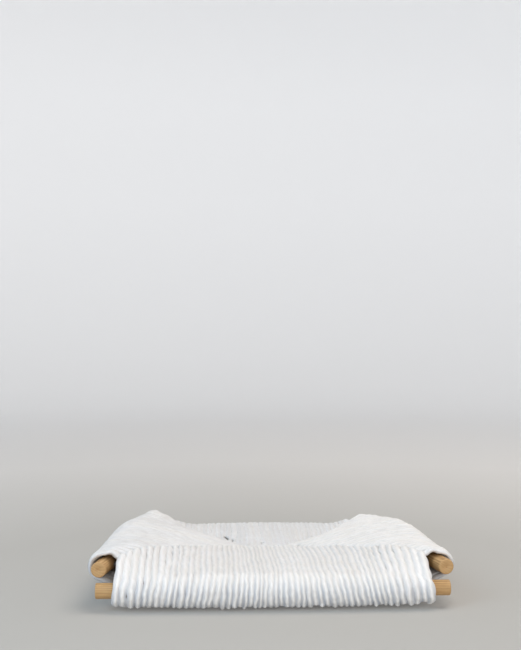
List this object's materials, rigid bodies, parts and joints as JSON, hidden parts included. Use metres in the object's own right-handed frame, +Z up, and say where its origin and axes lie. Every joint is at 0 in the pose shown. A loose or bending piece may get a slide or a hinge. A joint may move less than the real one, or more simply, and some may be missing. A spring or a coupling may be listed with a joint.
{
  "type": "woven rush chair seat",
  "caption": "Hand-woven rush seat wound on turned wooden rails, four pockets meeting on mitred seams, chalky white paint, saddle-shaped top.",
  "frame": {"origin": "middle of the seat's box, on the plane that the lowest strands of the front and back rolls rest on", "axes": "+X across the chair towards the right when seen from the front, +Y from the front rail to the back rail, +Z up"},
  "size_m": [0.4212, 0.357, 0.0681],
  "materials": {
    "painted_rush": "chalky matt white paint over twisted rush",
    "raw_rush": "dry unpainted rush",
    "rail_wood": "plain turned wood, unvarnished",
    "tack_steel": "dull steel"
  },
  "bodies": {
    "root": {"front_left_filler_weave": "painted_rush", "front_left_weave": "painted_rush", "front_bridge_weave": "painted_rush", "front_right_weave": "painted_rush", "front_right_filler_weave": "painted_rush", "back_left_weave": "painted_rush", "back_bridge_weave": "painted_rush", "back_right_weave": "painted_rush", "left_filler_weave": "painted_rush", "left_front_weave": "painted_rush", "left_back_weave": "painted_rush", "right_filler_weave": "painted_rush", "right_front_weave": "painted_rush", "right_back_weave": "painted_rush", "front_upper_stuffing": "raw_rush", "front_crossing": "raw_rush", "front_lower_stuffing": "raw_rush", "back_upper_stuffing": "raw_rush", "back_crossing": "raw_rush", "back_lower_stuffing": "raw_rush", "left_upper_stuffing": "raw_rush", "left_crossing": "raw_rush", "left_lower_stuffing": "raw_rush", "right_upper_stuffing": "raw_rush", "right_crossing": "raw_rush", "right_lower_stuffing": "raw_rush", "front_rail": "rail_wood", "back_rail": "rail_wood", "left_tack_1": "tack_steel", "left_tack_2": "tack_steel", "left_tack_3": "tack_steel", "left_tack_4": "tack_steel", "left_tack_5": "tack_steel", "left_tack_6": "tack_steel", "left_tack_7": "tack_steel", "left_tack_8": "tack_steel", "left_tack_9": "tack_steel", "left_rail": "rail_wood", "right_tack_1": "tack_steel", "right_tack_2": "tack_steel", "right_tack_3": "tack_steel", "right_tack_4": "tack_steel", "right_tack_5": "tack_steel", "right_tack_6": "tack_steel", "right_tack_7": "tack_steel", "right_tack_8": "tack_steel", "right_tack_9": "tack_steel", "right_rail": "rail_wood"}
  },
  "joints": []
}
